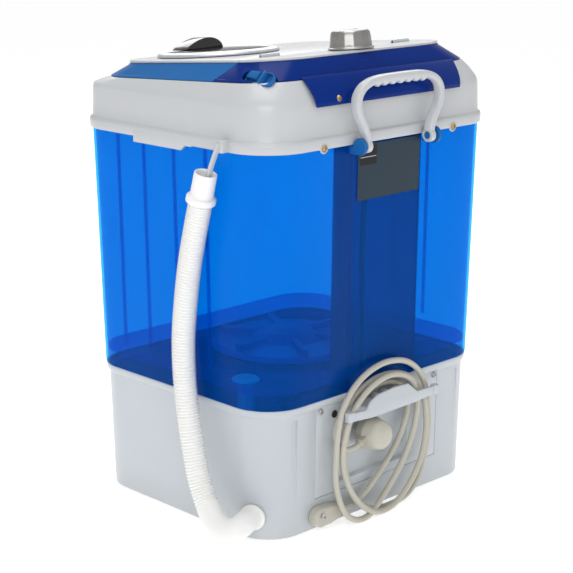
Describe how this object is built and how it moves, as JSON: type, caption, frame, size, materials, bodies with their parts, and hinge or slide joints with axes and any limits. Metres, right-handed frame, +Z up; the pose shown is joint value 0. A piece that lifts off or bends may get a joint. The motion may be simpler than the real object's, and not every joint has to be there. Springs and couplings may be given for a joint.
{
  "type": "single tub mini washing machine",
  "caption": "Mini washing machine with a translucent tub, white base, hinged lid with a round window, timer knob, carry handle, drain hose and coiled mains cord.",
  "frame": {"origin": "on the floor, under the axis of the wash plate, in the middle of the casing", "axes": "+Z up, front towards -Y, the handle and cord on the +Y side, the drain hose on the +X side"},
  "size_m": [0.417, 0.3524, 0.5568],
  "materials": {
    "base_white": "satin",
    "cap_white": "semi-gloss",
    "cream": "satin",
    "hose": "satin",
    "cord": "satin",
    "tub_blue": "clear gloss",
    "lid_blue": "gloss",
    "panel_blue": "gloss",
    "pulsator_blue": "gloss",
    "silver": "brushed",
    "smoky": "clear gloss",
    "black": "gloss",
    "rubber": "matt",
    "cable": "satin",
    "label": "satin film",
    "steel": "plain",
    "brass": "plain",
    "motor_grey": "cast",
    "pulley_grey": "satin"
  },
  "bodies": {
    "machine": {"base_housing": "base_white", "bottom_plate": "base_white", "rear_cover": "base_white", "cord_hanger": "base_white", "foot_front_left": "rubber", "foot_front_right": "rubber", "foot_rear_left": "rubber", "foot_rear_right": "rubber", "wash_tub": "tub_blue", "handle_ear_left": "tub_blue", "handle_ear_right": "tub_blue", "duct_cover": "tub_blue", "rating_label": "label", "top_frame": "cap_white", "panel_top": "cap_white", "control_panel": "panel_blue", "water_inlet": "panel_blue", "hinge_pin_left": "steel", "hinge_pin_right": "steel", "timer_body": "black", "cord_clamp": "cream", "drain_grille": "cream", "drain_pipe": "cream", "hose_outlet": "cream", "drain_hose": "hose", "hose_nozzle": "hose", "hose_hook": "cream", "shaft_seal": "rubber", "gearbox": "motor_grey", "drive_belt": "rubber", "motor_body": "motor_grey", "motor_bracket": "steel", "run_capacitor": "cream", "duct_cable": "cable", "power_cord_coil": "cord", "power_cord_lead": "cord", "power_plug": "cord", "cover_screw_left": "steel", "cover_screw_right": "steel", "panel_screw_left": "brass", "panel_screw_right": "brass", "clamp_screw": "steel", "rim_screw_front_left": "brass", "rim_screw_front_right": "brass", "rim_screw_rear_left": "brass", "rim_screw_rear_right": "brass"},
    "lid": {"lid_shell": "lid_blue", "lid_top": "cap_white", "window_bezel": "silver", "window_pane": "smoky", "window_grip": "black"},
    "handle": {"carry_handle": "cream"},
    "timer": {"timer_knob": "silver", "timer_shaft": "steel"},
    "wash_plate": {"pulsator": "pulsator_blue", "pulsator_shaft": "steel", "drive_pulley": "pulley_grey"},
    "motor_rotor": {"motor_pulley": "pulley_grey", "motor_shaft": "steel"}
  },
  "joints": [
    {"name": "lid_hinge", "type": "hinge", "parent": "machine", "child": "lid", "pos_m": [0, 0.0805, 0.53232], "axis": [-1, 0, 0], "range_deg": [0, 92]},
    {"name": "handle_swing", "type": "hinge", "parent": "machine", "child": "handle", "pos_m": [0, 0.174, 0.439], "axis": [-1, 0, 0], "range_deg": [0, 172]},
    {"name": "timer_turn", "type": "hinge", "parent": "machine", "child": "timer", "pos_m": [0.008, 0.109, 0.53403], "axis": [0, -0.0862, 0.9963], "range_deg": [0, 300]},
    {"name": "wash_spin", "type": "hinge", "parent": "machine", "child": "wash_plate", "pos_m": [0, 0, 0.1], "axis": [0, 0, 1], "continuous": true},
    {"name": "motor_spin", "type": "hinge", "parent": "machine", "child": "motor_rotor", "pos_m": [-0.105, 0, 0.08], "axis": [0, 0, 1], "continuous": true}
  ],
  "couplings": [
    {"joint": "motor_spin", "follows": "wash_spin", "ratio": 3.9452}
  ]
}
